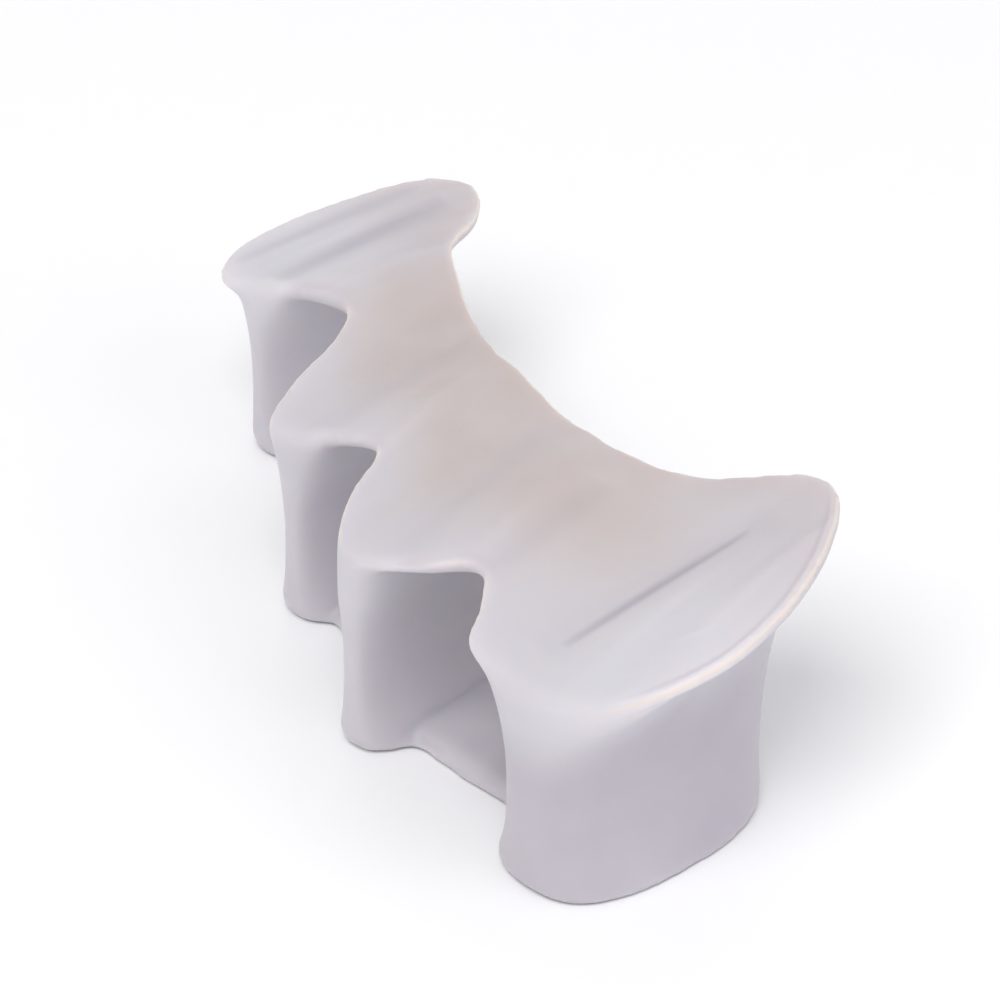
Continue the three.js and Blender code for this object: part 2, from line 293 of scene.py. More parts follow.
def web_place(x, y):
    """Where plan points lie on the web's lanes: their height on the top surface, their lane number from
    0 to 8 with its fraction, and their share of the way from front to rear.

    A lane's x runs straight from front to rear and its height is the parabola through its three heights.
    Between lanes the height is the cubic whose slopes come from the neighbouring lanes. Left of the
    first lane it goes on straight, and right of the last it stays level."""
    rows = np.array([row[1:] for row in LANES])[:, :, None]
    shape = np.shape(x)
    x, y = np.ravel(x), np.ravel(y)
    front, rear = on_plan(rows[:, :2, 0]), on_plan(rows[:, 2:4, 0])
    along = (y - front[:, 1:]) / (rear[:, 1:] - front[:, 1:])
    s = np.clip(along, -LANE_OVERRUN, 1 + LANE_OVERRUN)
    lane_x = front[:, :1] + (rear[:, :1] - front[:, :1]) * s
    a, b, c = rows[:, 4], rows[:, 5], rows[:, 6]
    lane_z = HEIGHT * (a * (1 - s) * (1 - 2 * s) + 4 * b * s * (1 - s) + c * s * (2 * s - 1))
    before = np.maximum(np.arange(len(rows)) - 1, 0)
    after = np.minimum(np.arange(len(rows)) + 1, len(rows) - 1)
    slope = (lane_z[after] - lane_z[before]) / (lane_x[after] - lane_x[before])

    i = np.sum(lane_x[1:-1] <= x, axis=0)
    column = np.arange(x.size)
    x0, x1 = lane_x[i, column], lane_x[i + 1, column]
    z0, z1 = lane_z[i, column], lane_z[i + 1, column]
    width = x1 - x0
    t = np.clip((x - x0) / width, 0, 1)
    z = z0 * (1 + 2 * t) * (1 - t) ** 2 + z1 * t ** 2 * (3 - 2 * t)
    z += width * (slope[i, column] * t * (1 - t) ** 2 - slope[i + 1, column] * t ** 2 * (1 - t))
    z += slope[0] * np.minimum(x - lane_x[0], 0)
    lane = i + t
    share = along[i, column] * (1 - t) + along[i + 1, column] * t
    return z.reshape(shape), lane.reshape(shape), share.reshape(shape)


def web_top(x, y):
    """Height of the web's top over plan points, as web_place works it out"""
    return web_place(x, y)[0]


def web_grid(sizes):
    """Web as one closed section carried from tip to tip. The section goes round the angle v: its place
    from the front edge to the rear edge is (1 − cos v) / 2. Each rim's outermost line lies at RIM_LEVEL
    of its thickness, and a small quarter circle above it and a larger one below round the rim."""
    front, rear = web_edges(np.linspace(0, 1, WEB_STATIONS))
    v = np.linspace(0, 2 * np.pi, WEB_SIDES, endpoint=False)
    t = (1 - np.cos(v)) / 2
    plan = front[:, None] * (1 - t)[:, None] + rear[:, None] * t[:, None]
    width = np.linalg.norm(rear - front, axis=1)[:, None]
    from_rim = np.minimum(t, 1 - t) * width
    rounding = lambda radius: np.sqrt(1 - (1 - np.minimum(from_rim / radius, 1)) ** 2)
    upper = RIM_LEVEL * sizes.rim_thickness
    extra = sizes.web_thickness - sizes.rim_thickness
    lower = sizes.rim_thickness - upper + extra * np.sqrt(4 * t * (1 - t))
    rim_line = web_top(plan[..., 0], plan[..., 1]) - upper
    above = rim_line + upper * rounding(upper)
    below = rim_line - lower * rounding(sizes.rim_thickness - upper)
    z = np.where(np.sin(v) > TOLERANCE, above, np.where(np.sin(v) < -TOLERANCE, below, rim_line))
    return np.dstack((plan, z))


def trim_grid():
    """Upright block on the web's whole plan: a four-cornered section carried from tip to tip"""
    front, rear = web_edges(np.linspace(0, 1, WEB_STATIONS))
    low = np.full((WEB_STATIONS, 1), -HEIGHT)
    high = np.full((WEB_STATIONS, 1), 2 * HEIGHT)
    corners = ((front, low), (rear, low), (rear, high), (front, high))
    return np.stack([np.hstack(corner) for corner in corners], axis=1)


def spacer_grid(row, sizes):
    """Spacer as superellipse sections from the floor into the web, whose points are the cosine and
    sine of the angle, each to the power 2 / SECTION_POWER with its sign kept. At the level share h of
    the height the half thickness is waist / 2 + flare a^p + foot b^p, where a and b are the shares of
    the way from the waist up to the web and down to the floor. Its ends draw in by the setback times
    1 − a^p, and its tail also by the rake times 1 − h. Shrinking rings close the top."""
    _, nose_x, nose_y, tail_x, tail_y, is_big, left, right = row
    nose, tail = on_plan((nose_x, nose_y)), on_plan((tail_x, tail_y))
    half_length = np.linalg.norm(tail - nose) / 2
    along = (tail - nose) / (2 * half_length)
    across = np.array((-along[1], along[0]))
    waist = sizes.big_waist if is_big else sizes.small_waist
    foot = sizes.big_foot_flare if is_big else sizes.small_foot_flare

    level = (1 - np.cos(np.linspace(0, np.pi, SPACER_LEVELS))) / 2
    above = (np.maximum(level - WAIST_SHARE, 0) / (1 - WAIST_SHARE)) ** FLARE_POWER
    below = (np.maximum(WAIST_SHARE - level, 0) / WAIST_SHARE) ** FLARE_POWER
    shrink = np.linspace(1, LAST_TOP_RING, TOP_RINGS + 1)[1:]
    drawn_in = sizes.end_setback * (1 - above) + sizes.tail_rake * (1 - level) / 2
    reach = np.concatenate((half_length - drawn_in, half_length * shrink))
    level = np.concatenate((level, np.ones(TOP_RINGS)))
    half = waist / 2 + foot * below
    half_left = np.concatenate((half + left * MM * above, (waist / 2 + left * MM) * shrink))
    half_right = np.concatenate((half + right * MM * above, (waist / 2 + right * MM) * shrink))

    angle = np.linspace(0, 2 * np.pi, SPACER_SIDES, endpoint=False)
    rounded = lambda value: np.sign(value) * np.abs(value) ** (2 / SECTION_POWER)
    c, s = rounded(np.cos(angle)), rounded(np.sin(angle))
    a = reach[:, None] * c - sizes.tail_rake * (1 - level[:, None]) / 2
    b = np.where(s > 0, half_left[:, None], half_right[:, None]) * s
    plan = (nose + tail) / 2 + a[..., None] * along + b[..., None] * across
    z = level[:, None] * (web_top(plan[..., 0], plan[..., 1]) - sizes.rim_thickness / 2)
    return np.dstack((plan, z))


def sole_grid(sizes):
    """Sole band as a section carried from spacer to spacer: flat below, its top edges rounded by a
    quarter circle as high as the band is thick"""
    rows = np.array([row[1:5] for row in SPACERS])[::-1]
    nose, tail = on_plan(rows[:, :2]), on_plan(rows[:, 2:])
    u = np.linspace(0, 1, SOLE_STATIONS)
    front, rear = (edge_curve(nose + (tail - nose) * share, u) for share in SOLE_SHARES)
    v = np.linspace(0, 2 * np.pi, SOLE_SIDES, endpoint=False)
    t = (1 - np.cos(v)) / 2
    plan = front[:, None] * (1 - t)[:, None] + rear[:, None] * t[:, None]
    width = np.linalg.norm(rear - front, axis=1)[:, None]
    from_side = np.minimum(t, 1 - t) * width / sizes.sole_thickness
    rounding = np.sqrt(1 - (1 - np.minimum(from_side, 1)) ** 2)
    z = np.where(np.sin(v) > TOLERANCE, sizes.sole_thickness * rounding, 0)
    return np.dstack((plan, z))


def signed_volume(points, faces):
    """Volume inside faces that all have as many corners: a sixth of each fan triangle's triple product"""
    corners = points[faces]
    fans = [np.cross(corners[:, k], corners[:, k + 1]) for k in range(1, faces.shape[1] - 1)]
    return sum(np.einsum("ij,ij->", corners[:, 0], fan) for fan in fans) / 6


def mesh_object(name, grid):
    """Closed mesh object of a grid whose columns go round: quads between the rows, and one face at
    each end. The faces are turned about where they would enclose a negative volume."""
    rows, columns = grid.shape[:2]
    points = grid.reshape(-1, 3)
    number = np.arange(rows * columns).reshape(rows, columns)
    beside = np.roll(number, -1, axis=1)
    quads = np.stack((number[:-1], beside[:-1], beside[1:], number[1:]), axis=-1).reshape(-1, 4)
    ends = [number[0, ::-1], number[-1]]
    if signed_volume(points, quads) < 0:
        quads = quads[:, ::-1]
        ends = [end[::-1] for end in ends]
    mesh = bpy.data.meshes.new(name)
    mesh.from_pydata(points, [], [*quads.tolist(), *(end.tolist() for end in ends)])
    mesh.update()
    piece = bpy.data.objects.new(name, mesh)
    bpy.context.collection.objects.link(piece)
    return piece


def apply_modifiers(piece):
    """Replaces the object's mesh by what its modifiers make of it"""
    evaluated = piece.evaluated_get(bpy.context.evaluated_depsgraph_get())
    made = bpy.data.meshes.new_from_object(evaluated)
    old = piece.data
    piece.modifiers.clear()
    piece.data = made
    bpy.data.meshes.remove(old)


def joined(name, pieces):
    """One object that holds the meshes of several"""
    with bpy.context.temp_override(active_object=pieces[0], selected_editable_objects=pieces):
        bpy.ops.object.join()
    pieces[0].name = name
    pieces[0].data.name = name
    return pieces[0]


def mesh_points(mesh):
    """Places of the mesh's points, one row each"""
    points = np.empty(len(mesh.vertices) * 3)
    mesh.vertices.foreach_get("co", points)
    return points.reshape(-1, 3)


def mesh_edges(mesh):
    """Numbers of the two points of each edge"""
    edges = np.empty(len(mesh.edges) * 2, dtype=int)
    mesh.edges.foreach_get("vertices", edges)
    return edges.reshape(-1, 2)


def mesh_normals(mesh):
    """Outward unit normals at the mesh's points"""
    normals = np.empty(len(mesh.vertices) * 3)
    mesh.vertex_normals.foreach_get("vector", normals)
    return normals.reshape(-1, 3)


def pull(points, edges, count):
    """Way from each point to the mean of its neighbours"""
    a, b = edges.T
    total = [
        np.bincount(a, points[b, k], len(points)) + np.bincount(b, points[a, k], len(points))
        for k in range(3)
    ]
    return np.stack(total, axis=1) / count[:, None] - points


def smoothed(points, edges, rounds, shrink, swell):
    """Smoothing: in each round every point moves by the share shrink towards the mean of its
    neighbours, then by the share swell away from it, which keeps the volume where both are alike"""
    count = np.bincount(edges.ravel(), minlength=len(points))
    for _ in range(rounds):
        points = points + shrink * pull(points, edges, count)
        if swell:
            points = points - swell * pull(points, edges, count)
    return points


def nose_weight(points):
    """How much of the nose smoothing a point takes: strength × exp(−(distance / radius)²) from the top
    edge of the nearest nose"""
    weight = np.zeros(len(points))
    for _, x, y, radius, strength in SOFT_NOSES:
        plan = on_plan((x, y))
        centre = np.append(plan, web_top(*plan))
        away = np.linalg.norm(points - centre, axis=1) / (radius * MM)
        weight = np.maximum(weight, strength * np.exp(-away ** 2))
    return weight


def fold_profile(plan, row):
    """Depth share of a fold at plan points: exp(−(distance / half width)²) across it, and a power of a
    parabola along it, which runs it out at both ends"""
    _, x0, y0, x1, y1, _, half_width, _ = row
    start, finish = on_plan((x0, y0)), on_plan((x1, y1))
    run = finish - start
    share = ((plan - start) @ run) / (run @ run)
    away = (plan - start) @ np.array((-run[1], run[0])) / np.linalg.norm(run)
    fade = np.clip(4 * share * (1 - share), 0, 1) ** FOLD_FADE
    return fade * np.exp(-(away / (half_width * MM)) ** 2)


def stretch_height(lane, share):
    """Stretch lines: the sum of height × sin(2π (waves × lane + phase + drift × share))"""
    return sum(
        height * MM * np.sin(2 * np.pi * (waves * lane + phase + drift * share))
        for waves, phase, drift, height in STRETCH_LINES
    )


def lip_height(away):
    """Height of the lip: the sum of height × exp(−((distance − place) / half width)²)"""
    return sum(
        height * MM * np.exp(-((away - place * MM) / (half_width * MM)) ** 2)
        for _, place, height, half_width in LIP
    )


def rim_place(plan):
    """Distance of plan points from the nearest edge of the web, and how far that edge faces forward,
    which is the share of its outward normal along −Y"""
    front, rear = web_edges(np.linspace(0, 1, 3 * WEB_STATIONS))
    edges = np.vstack((front, rear))
    run = np.vstack((np.gradient(front, axis=0), -np.gradient(rear, axis=0)))
    forward = run[:, 0] / np.linalg.norm(run, axis=1)
    nearest = np.full(len(plan), np.inf)
    facing = np.zeros(len(plan))
    for some in np.array_split(np.arange(len(edges)), EDGE_BATCHES):
        away = np.linalg.norm(plan[:, None] - edges[some], axis=2)
        best = away.argmin(axis=1)
        closest = away[np.arange(len(plan)), best]
        facing = np.where(closest < nearest, forward[some][best], facing)
        nearest = np.minimum(nearest, closest)
    return nearest, facing


def web_drop(points):
    """How far points lie below the web's top: its height over them minus their own"""
    return web_top(*points[:, :2].T) - points[:, 2]


def rim_distance(points):
    """Distance in millimetres from the top edge of the rims, up to RIM_NOTED: the root of the sum of the
    squares of the plan distance and of the drop below RIM_TOP"""
    away, _ = rim_place(points[:, :2])
    drop = np.maximum(web_drop(points) - RIM_TOP, 0)
    return np.minimum(np.hypot(away, drop), RIM_NOTED) / MM


def fades_out(reach, value):
    """1 minus the smooth step over the reach: 1 below it and 0 above it"""
    return 1 - smooth_step(*reach, value)


def put_attribute(mesh, name, values):
    """Gives every point of the mesh a value that the material reads by this name"""
    attribute = mesh.attributes.new(name, "FLOAT", "POINT")
    attribute.data.foreach_set("value", values.astype(np.float32))


def refine_near_crease(mesh):
    """Cuts the edges of the top surface near the crease in three, so that the fold is sharper there"""
    shape = bmesh.new()
    shape.from_mesh(mesh)
    points = mesh_points(mesh)
    crease = fold_profile(points[:, :2], (*FOLDS[0][:6], REFINED_HALF_WIDTH, 0))
    near = (crease > REFINED_SHARE) & (mesh_normals(mesh)[:, 2] > REFINED_UPWARD)
    inside = near[mesh_edges(mesh)].all(axis=1)
    shape.edges.ensure_lookup_table()
    chosen = [shape.edges[i] for i in np.flatnonzero(inside)]
    bmesh.ops.subdivide_edges(shape, edges=chosen, cuts=REFINED_PIECES - 1, use_grid_fill=True)
    shape.to_mesh(mesh)
    shape.free()


def join_parts(sizes):
    """Web, sole and spacers as one object of overlapping closed surfaces, with the spacers trimmed to
    the web's plan"""
    block = mesh_object("trim_block", trim_grid())
    spacers = [mesh_object(row[0], spacer_grid(row, sizes)) for row in SPACERS]
    for spacer in spacers:
        trim = spacer.modifiers.new("trim", "BOOLEAN")
        trim.operation = "INTERSECT"
        trim.solver = "EXACT"
        trim.object = block
    bpy.context.view_layer.update()
    for spacer in spacers:
        apply_modifiers(spacer)
    bpy.data.objects.remove(block)
    web = mesh_object("web", web_grid(sizes))
    sole = mesh_object("sole", sole_grid(sizes))
    return joined("separator_body", [web, sole, *spacers])


def wrap_skin(body, voxel):
    """One skin round the object's overlapping surfaces: a voxel remesh whose points then move to the
    nearest places on those surfaces"""
    form = bpy.data.objects.new("exact_form", body.data.copy())
    bpy.context.collection.objects.link(form)
    skin = body.modifiers.new("skin", "REMESH")
    skin.mode = "VOXEL"
    skin.voxel_size = voxel
    skin.use_smooth_shade = True
    fit = body.modifiers.new("fit", "SHRINKWRAP")
    fit.wrap_method = "NEAREST_SURFACEPOINT"
    fit.target = form
    bpy.context.view_layer.update()
    apply_modifiers(body)
    bpy.data.objects.remove(form)


def smooth_skin(mesh):
    """Rounds the rims and joins of the skin. The noses, the feet and the rims take rounds of their own,
    whose steps fade out with the distance from them."""
    points, edges = mesh_points(mesh), mesh_edges(mesh)
    # Distance from the rims' top edge, which places the painted highlight line and the painted shade line of
    # the lip's groove
    put_attribute(mesh, "rim", rim_distance(points))
    points = smoothed(points, edges, SKIN_ROUNDS, SHRINK, SWELL)
    points = smoothed(points, edges, NOSE_ROUNDS, SHRINK * nose_weight(points)[:, None], 0)
    near_floor = fades_out(FOOT_RISE, points[:, 2])
    points = smoothed(points, edges, FOOT_ROUNDS, SHRINK * near_floor[:, None], 0)
    near_rim = fades_out(RIM_AWAY, rim_place(points[:, :2])[0]) * fades_out(WEB_DROP, web_drop(points))
    points = smoothed(points, edges, RIM_ROUNDS, SHRINK * near_rim[:, None], 0)
    mesh.vertices.foreach_set("co", points.ravel())
    mesh.update()


def press_top(mesh):
    """Presses the folds into the web's top along its normals, raises the stretch lines and the lip, and
    sets the feet on the floor. Before the points move, it notes their tints, painted shade and painted
    highlight"""
    points, normals = mesh_points(mesh), mesh_normals(mesh)
    on_top = smooth_step(*FACES_UP, normals[:, 2])
    # Share of the painted shade at the bottom of the folds, for each point
    fold = np.zeros(len(points))
    pressed = np.zeros(len(points))
    for row in FOLDS:
        profile = fold_profile(points[:, :2], row) * on_top
        pressed += profile * row[5] * MM
        fold = np.maximum(fold, profile * row[7])
    _, lane, share = web_place(points[:, 0], points[:, 1])
    away, facing = rim_place(points[:, :2])
    edged = fades_out(WEB_DROP, web_drop(points)) * fades_out(NOSE_LIP, nose_weight(points))
    edged *= fades_out(LIP_FORWARD, facing)
    pressed -= (stretch_height(lane, share) + lip_height(away) * edged) * on_top
    put_tints_and_painted_light(mesh, points, fold)
    points = points - normals * pressed[:, None]
    points[:, 2] = np.maximum(points[:, 2] - points[:, 2].min(), 0)
    mesh.vertices.foreach_set("co", points.ravel())
    mesh.update()


def put_tints_and_painted_light(mesh, points, fold):
    """Notes on every point how much of each tint, painted shade and painted highlight it takes. Thin
    silicone lies in the web over the loops and towards its rear. Painted shade lies low in the spacers, in
    the lobes over them and, by half a cosine wave from lane to lane, along the openings' front edges, and
    the web darkens towards its rear. A painted shade line lies in the lip's groove on the big wing, a
    painted highlight line along the rims' top edge where they do not face the front, and painted shade
    at the bottom of the folds."""
    top, lane, share = web_place(points[:, 0], points[:, 1])
    away, facing = rim_place(points[:, :2])
    drop = top - points[:, 2]
    in_web = fades_out(WEB_DROP, drop)

    over_loops = smooth_step(*THIN_LANES[0], lane) * fades_out(THIN_LANES[1], lane)
    rear = smooth_step(*REAR_SHARES, share)
    thin = np.maximum(over_loops * smooth_step(*THIN_SHARES, share), REAR_THIN * rear)

    # Painted shade: along the openings' front edges, in the lobes over the spacers and low in the spacers,
    # more in the big one; the web also darkens towards its rear
    crest = 0.5 - 0.5 * np.cos(np.pi * (np.clip(lane, 1, 7) - 1))
    openings = smooth_step(*CREST, crest) * smooth_step(*OPENING_FORWARD, facing)
    openings *= fades_out(OPENING_AWAY, away) * in_web
    lobes = smooth_step(*LOBE_LANES[0], lane) * fades_out(LOBE_LANES[1], lane) * fades_out(LOBE_SHARES, share)
    big_spacer = smooth_step(*BIG_SPACER_LANES, lane)
    low = smooth_step(*SHADE_DROP, drop)
    low *= SMALL_SPACER_SHADE + (BIG_SPACER_SHADE - SMALL_SPACER_SHADE) * big_spacer
    parts = (low, REAR_DARKENING * rear * in_web, LOBE_SHADE * lobes, OPENING_SHADE * openings)
    deep_shade = np.max(parts, axis=0)
    # Painted shade line in the lip's groove, on the big wing only, faded where the rim faces the front
    groove_shade_line = GROOVE_SHADE * smooth_step(*BIG_WING_LANES, lane) * fades_out(GROOVE_SHADE_FORWARD, facing)

    put_attribute(mesh, "thin", thin * in_web)
    put_attribute(mesh, "deep_shade", deep_shade)
    # Painted highlight line along the rims, faded where they face the front
    put_attribute(mesh, "edge_highlight", fades_out(HIGHLIGHT_FORWARD, facing))
    put_attribute(mesh, "groove_shade_line", groove_shade_line)
    # Painted shade at the bottom of the folds
    put_attribute(mesh, "fold", fold)


def mould_body(sizes):
    """The whole separator as one soft skin"""
    body = join_parts(sizes)
    wrap_skin(body, sizes.voxel)
    smooth_skin(body.data)
    refine_near_crease(body.data)
    press_top(body.data)
    body.data.shade_smooth()
    return body


def add_node(tree, kind, settings=None, inputs=None, links=None):
    """Adds a node, sets its properties and input values, and links outputs to its inputs"""
    node = tree.nodes.new(kind)
    for name, value in (settings or {}).items():
        setattr(node, name, value)
    for name, value in (inputs or {}).items():
        node.inputs[name].default_value = value
    for name, output in (links or {}).items():
        tree.links.new(output, node.inputs[name])
    return node


def moulded_silicone(colours):
    """Milky medical silicone, cast in a polished mould. It lets light in a few millimetres, so that
    its folds stay soft and pale, reads cool where it is thick and warmer where it is thin, and has a
    satin skin with faint flow waves and a fine grain. Its colour also carries painted shade at the bottom
    of the folds, in a fine line in the lip's groove, low in the spacers and along the openings' front
    edges, and a painted highlight line along the rims' top edge."""
    material = bpy.data.materials.new("moulded_silicone")
    material.use_nodes = True
    tree = material.node_tree
    tree.nodes.clear()
    place = add_node(tree, "ShaderNodeTexCoord").outputs["Object"]
    # Point attributes: the thin tint, the painted shade of the spacers, the rims' distance, the painted
    # highlight mask, the painted groove shade line and the painted fold shade
    attribute = {
        name: add_node(tree, "ShaderNodeAttribute", {"attribute_name": name}).outputs["Fac"]
        for name in ("thin", "deep_shade", "rim", "edge_highlight", "groove_shade_line", "fold")
    }

    def noise(size, detail):
        """Noise whose waves are about one size across: its scale is 1 / size"""
        inputs = {"Scale": 1 / size, "Detail": detail, "Roughness": 0.55}
        return add_node(tree, "ShaderNodeTexNoise", inputs=inputs, links={"Vector": place}).outputs["Fac"]

    def mixed(share, first, second):
        """Colour mix: (1 − share) × first + share × second, each a colour or another node's output"""
        node = add_node(tree, "ShaderNodeMix", {"data_type": "RGBA"}, links={0: share})
        for socket, value in ((6, first), (7, second)):
            if isinstance(value, bpy.types.NodeSocket):
                tree.links.new(value, node.inputs[socket])
            else:
                node.inputs[socket].default_value = (*value, 1)
        return node.outputs[2]

    def ranged(value, low, high):
        """Straight line from low to high while the noise goes from 0.3 to 0.7"""
        inputs = {"From Min": 0.3, "From Max": 0.7, "To Min": low, "To Max": high}
        return add_node(tree, "ShaderNodeMapRange", inputs=inputs, links={"Value": value}).outputs["Result"]

    def stepped(value, start, stop):
        """Smooth step of the value, 3s² − 2s³ with s = 0 at start and 1 at stop"""
        settings = {"interpolation_type": "SMOOTHSTEP"}
        inputs = {"From Min": start, "From Max": stop, "To Min": 0, "To Max": 1}
        links = {"Value": value}
        return add_node(tree, "ShaderNodeMapRange", settings, inputs, links).outputs["Result"]

    def times(first, second):
        """Product of two nodes' outputs"""
        links = {0: first, 1: second}
        return add_node(tree, "ShaderNodeMath", {"operation": "MULTIPLY"}, links=links).outputs[0]

    cloud = noise(9 * MM, 2)       # cloudiness of the casting, about 9 mm across
    flow = noise(2.5 * MM, 2)      # flow waves in the skin, 2 to 3 mm
    grain = noise(0.25 * MM, 3)    # polishing grain of the mould, 0.25 mm, as coarse as it needs to show

    # Painted highlight line along the rims' top edge, where they do not face the front
    bright = times(stepped(attribute["rim"], *HIGHLIGHT_LINE), attribute["edge_highlight"])
    # Painted shade line in the lip's groove, where the near and far steps meet
    grey = times(stepped(attribute["rim"], *GROOVE_SHADE_NEAR), stepped(attribute["rim"], *GROOVE_SHADE_FAR))

    # Painted shade low in the spacers, in the lobes and at the openings' front edges
    deep_shade = mixed(attribute["deep_shade"], colours.thick, colours.deep_shade)
    thin = mixed(attribute["thin"], deep_shade, colours.thin)
    clouded = mixed(ranged(cloud, 0.0, 0.35), thin, colours.cloud)
    groove_shaded = mixed(times(grey, attribute["groove_shade_line"]), clouded, colours.fold)
    rim_lit = mixed(bright, groove_shaded, colours.rim)
    # Painted shade at the bottom of the folds
    fold_shaded = mixed(attribute["fold"], rim_lit, colours.fold)

    bump_flow = add_node(tree, "ShaderNodeBump", inputs={"Strength": 0.35, "Distance": 0.12 * MM},
                         links={"Height": flow})
    bump = add_node(tree, "ShaderNodeBump", inputs={"Strength": 0.3, "Distance": 0.02 * MM},
                    links={"Height": grain, "Normal": bump_flow.outputs["Normal"]})
    shader = add_node(
        tree, "ShaderNodeBsdfPrincipled",
        inputs={
            "IOR": 1.41,
            "Subsurface Weight": 1.0,
            "Subsurface Radius": (1.0, 0.82, 0.72),
            "Subsurface Scale": 2.2 * MM,
        },
        links={
            "Base Color": fold_shaded,
            "Roughness": ranged(flow, 0.36, 0.46),
            "Normal": bump.outputs["Normal"],
        },
    )
    add_node(tree, "ShaderNodeOutputMaterial", links={"Surface": shader.outputs["BSDF"]})
    return material


def plain_material(name, colour, roughness):
    """Matt painted board for the floor"""
    material = bpy.data.materials.new(name)
    material.use_nodes = True
    shader = material.node_tree.nodes["Principled BSDF"]
    shader.inputs["Base Color"].default_value = (*colour, 1)
    shader.inputs["Roughness"].default_value = roughness
    return material


class SeparatorSizes(bpy.types.PropertyGroup):
    """Sizes that the moulded body is worked out from"""
    web_thickness: FloatProperty(
        name="Web thickness", description="Web over the middle of a loop",
        default=2.2 * MM, unit="LENGTH")
    rim_thickness: FloatProperty(
        name="Rim thickness", description="Web at its free edges",
        default=1.0 * MM, unit="LENGTH")
    sole_thickness: FloatProperty(
        name="Sole thickness", description="Band that closes the three loops below",
        default=1.8 * MM, unit="LENGTH")
    big_waist: FloatProperty(
        name="Big waist", description="Thickness of the spacer under the big wing",
        default=9.8 * MM, unit="LENGTH")
    small_waist: FloatProperty(
        name="Small waist", description="Thickness of the other three spacers",
        default=4.2 * MM, unit="LENGTH")
    big_foot_flare: FloatProperty(
        name="Big foot flare", description="How far the big spacer widens on each side at its foot",
        default=2.4 * MM, unit="LENGTH")
    small_foot_flare: FloatProperty(
        name="Small foot flare", description="How far the others widen on each side at their feet",
        default=1.8 * MM, unit="LENGTH")
    end_setback: FloatProperty(
        name="End setback", description="How far a spacer's two ends draw in below the web",
        default=0.9 * MM, unit="LENGTH")
    tail_rake: FloatProperty(
        name="Tail rake", description="How much further forward a spacer's tail stands at the floor",
        default=3.5 * MM, unit="LENGTH")
    voxel: FloatProperty(
        name="Skin step", description="Size of the faces of the finished skin",
        default=0.32 * MM, unit="LENGTH")


class SeparatorColours(bpy.types.PropertyGroup):
    """Colours of the silicone, and of the painted shade and painted highlight on it"""
    thick: FloatVectorProperty(
        name="Thick", description="Silicone over the spacers and in the wings",
        subtype="COLOR", default=linear("#D3D1D7"))
    # Painted shade: low in the spacers, in the lobes over them and at the openings' front edges, and the
    # web's darkening towards its rear
    deep_shade: FloatVectorProperty(
        name="Deep", description="Silicone deep in the spacers and where lobes lie over them",
        subtype="COLOR", default=linear("#BCB6BF"))
    thin: FloatVectorProperty(
        name="Thin", description="Silicone in the web over the loops",
        subtype="COLOR", default=linear("#C2B7B4"))
    cloud: FloatVectorProperty(
        name="Cloud", description="Paler clouds in the casting",
        subtype="COLOR", default=linear("#CECCD0"))
    # Painted highlight: the line of light that the thin rims catch and let through
    rim: FloatVectorProperty(
        name="Rim", description="Thin rounded rims that light passes through",
        subtype="COLOR", default=linear("#DAD1CC"))
    # Painted shade, at the bottom of the folds and in the line of the lip's groove
    fold: FloatVectorProperty(
        name="Fold", description="Shade at the bottom of a fold",
        subtype="COLOR", default=linear("#AAA3AF"))


class StageSettings(bpy.types.PropertyGroup):
    """Camera, floor and lights"""
    azimuth: FloatProperty(
        name="Azimuth", description="Camera's turn round the piece, from looking along +Y",
        default=math.radians(42), subtype="ANGLE")
    elevation: FloatProperty(
        name="Elevation", description="Camera's height angle above the floor",
        default=math.radians(40), subtype="ANGLE")
    distance: FloatProperty(
        name="Distance", description="From the big spacer's front foot to the camera",
        default=0.56, unit="LENGTH")
    lens: FloatProperty(
        name="Lens", description="Focal length in millimetres on a 36 mm sensor",
        default=262)
    floor_colour: FloatVectorProperty(
        name="Floor", description="Pale floor", subtype="COLOR", default=linear("#FAFAFB"))


class TOESEP_OT_moulded_body(bpy.types.Operator):
    """Moulds the toe separator's body and gives it its silicone"""
    bl_idname = "toesep.moulded_body"
    bl_label = "Mould the separator body"

    def execute(self, context):
        body = mould_body(context.scene.toesep_sizes)
        body.data.materials.clear()
        body.data.materials.append(moulded_silicone(context.scene.toesep_colours))
        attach(body, "root")
        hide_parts(NODE)
        return {"FINISHED"}


class TOESEP_OT_stage(bpy.types.Operator):
    """Sets the pale floor, the soft lights and the camera"""
    bl_idname = "toesep.stage"
    bl_label = "Set the stage"

    def execute(self, context):
        stage = context.scene.toesep_stage
        add_floor(stage)
        add_lights(context.scene)
        add_camera(context.scene, stage)
        return {"FINISHED"}


# Floor, in metres
FLOOR_RINGS = (0.05, 0.3)  # rings inside its flat part
FLOOR_RADIUS = 1.3         # flat part
SWEEP_RADIUS = 0.5         # how it curves up at its far edge
WALL_HEIGHT = 1.2          # top of the wall that it runs up into
FLOOR_TURNS = 96           # steps round it
SWEEP_STEPS = 24           # steps up its curve


